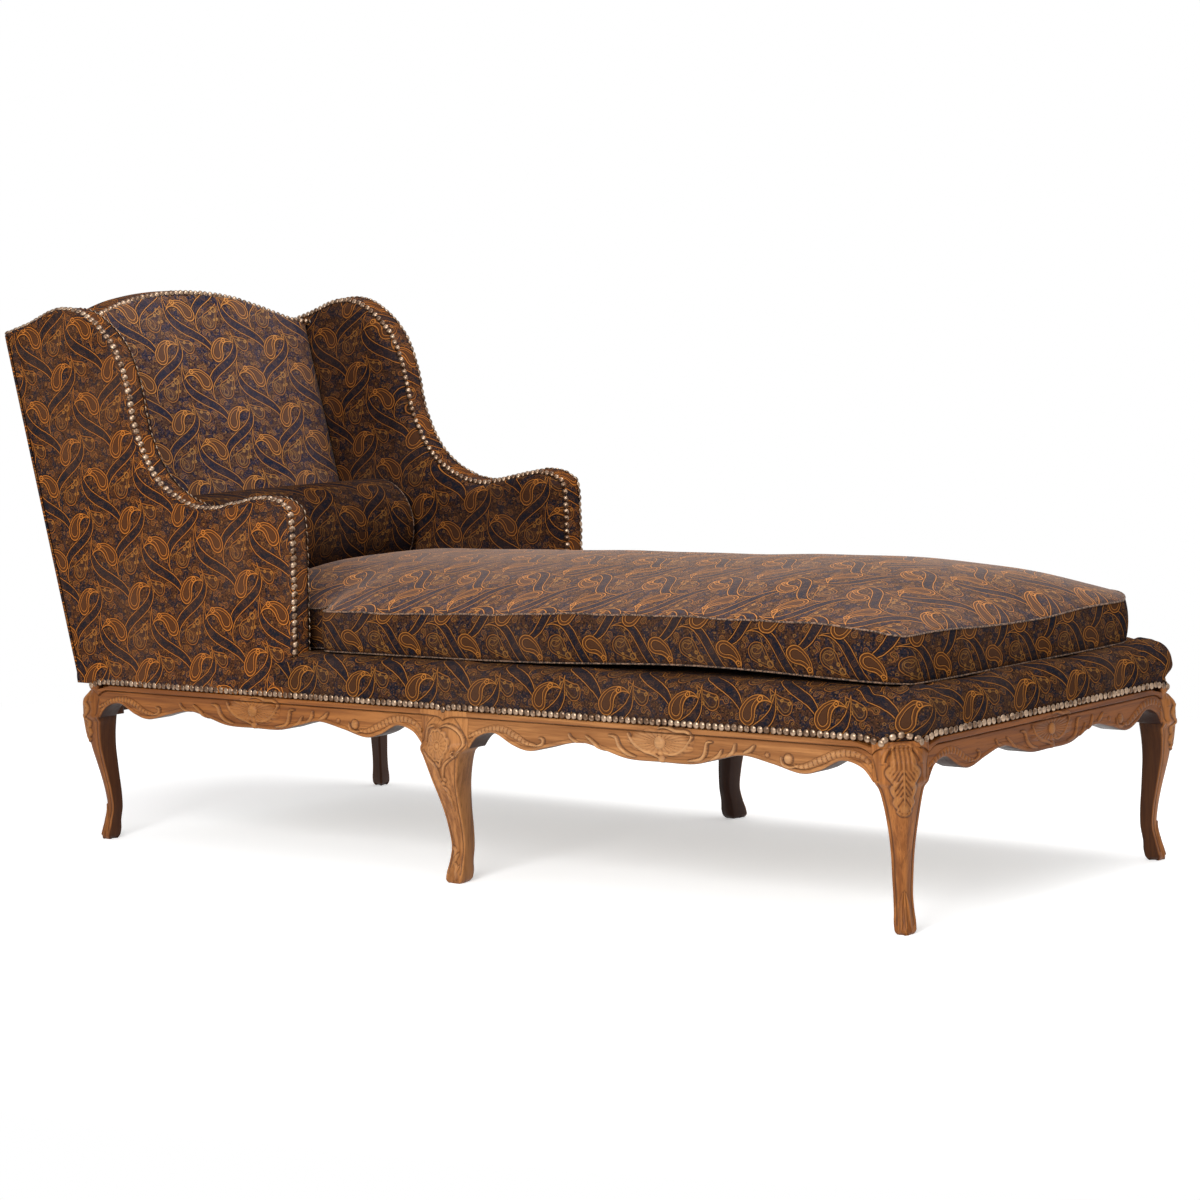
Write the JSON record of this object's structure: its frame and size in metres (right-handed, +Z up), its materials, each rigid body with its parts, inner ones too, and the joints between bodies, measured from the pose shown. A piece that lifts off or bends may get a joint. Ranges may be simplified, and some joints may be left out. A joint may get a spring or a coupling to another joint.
{
  "type": "fainting couch",
  "caption": "Winged chaise longue with carved cabriole legs and shaped rails, a padded deck, a loose T-shaped seat cushion and a loose bolster.",
  "frame": {"origin": "on the floor, under the middle of the whole piece", "axes": "+X along the couch towards the foot end, +Y across it, +Z up"},
  "size_m": [2.1051, 0.8388, 1.03],
  "materials": {
    "carved_oak": "waxed, worn",
    "frame_beech": "raw",
    "paisley_velvet": "cut velvet",
    "webbing": "coarse linen",
    "nail_bronze": "antique, polished high spots"
  },
  "bodies": {
    "couch": {"leg_head_near": "carved_oak", "leg_head_far": "carved_oak", "leg_middle_near": "carved_oak", "leg_middle_far": "carved_oak", "leg_foot_near": "carved_oak", "leg_foot_far": "carved_oak", "rail_head_near": "carved_oak", "rail_head_far": "carved_oak", "rail_foot_near": "carved_oak", "rail_foot_far": "carved_oak", "foot_rail": "carved_oak", "head_rail": "carved_oak", "cross_rail": "frame_beech", "corner_block_head_near": "frame_beech", "corner_block_head_far": "frame_beech", "corner_block_foot_near": "frame_beech", "corner_block_foot_far": "frame_beech", "back_post_near": "frame_beech", "back_post_far": "frame_beech", "crest_rail": "frame_beech", "lower_back_rail": "frame_beech", "arm_post_near": "frame_beech", "arm_post_far": "frame_beech", "arm_rail_near": "frame_beech", "arm_rail_far": "frame_beech", "wing_rail_near": "frame_beech", "wing_rail_far": "frame_beech", "seat_webbing": "webbing", "seat_hessian": "webbing", "back_webbing": "webbing", "back_hessian": "webbing", "outside_back": "paisley_velvet", "crest_band": "paisley_velvet", "back_pad": "paisley_velvet", "side_cover_near": "paisley_velvet", "side_cover_far": "paisley_velvet", "edge_band_near": "paisley_velvet", "edge_band_far": "paisley_velvet", "wing_pad_near": "paisley_velvet", "wing_pad_far": "paisley_velvet", "deck": "paisley_velvet"},
    "cushion": {"seat_cushion": "paisley_velvet"},
    "bolster": {"bolster": "paisley_velvet"}
  },
  "joints": [
    {"name": "cushion_lift", "type": "slide", "parent": "couch", "child": "cushion", "axis": [0, 0, 1], "range_m": [0, 0.66]},
    {"name": "bolster_lift", "type": "slide", "parent": "cushion", "child": "bolster", "axis": [0, 0, 1], "range_m": [0, 0.6]}
  ]
}
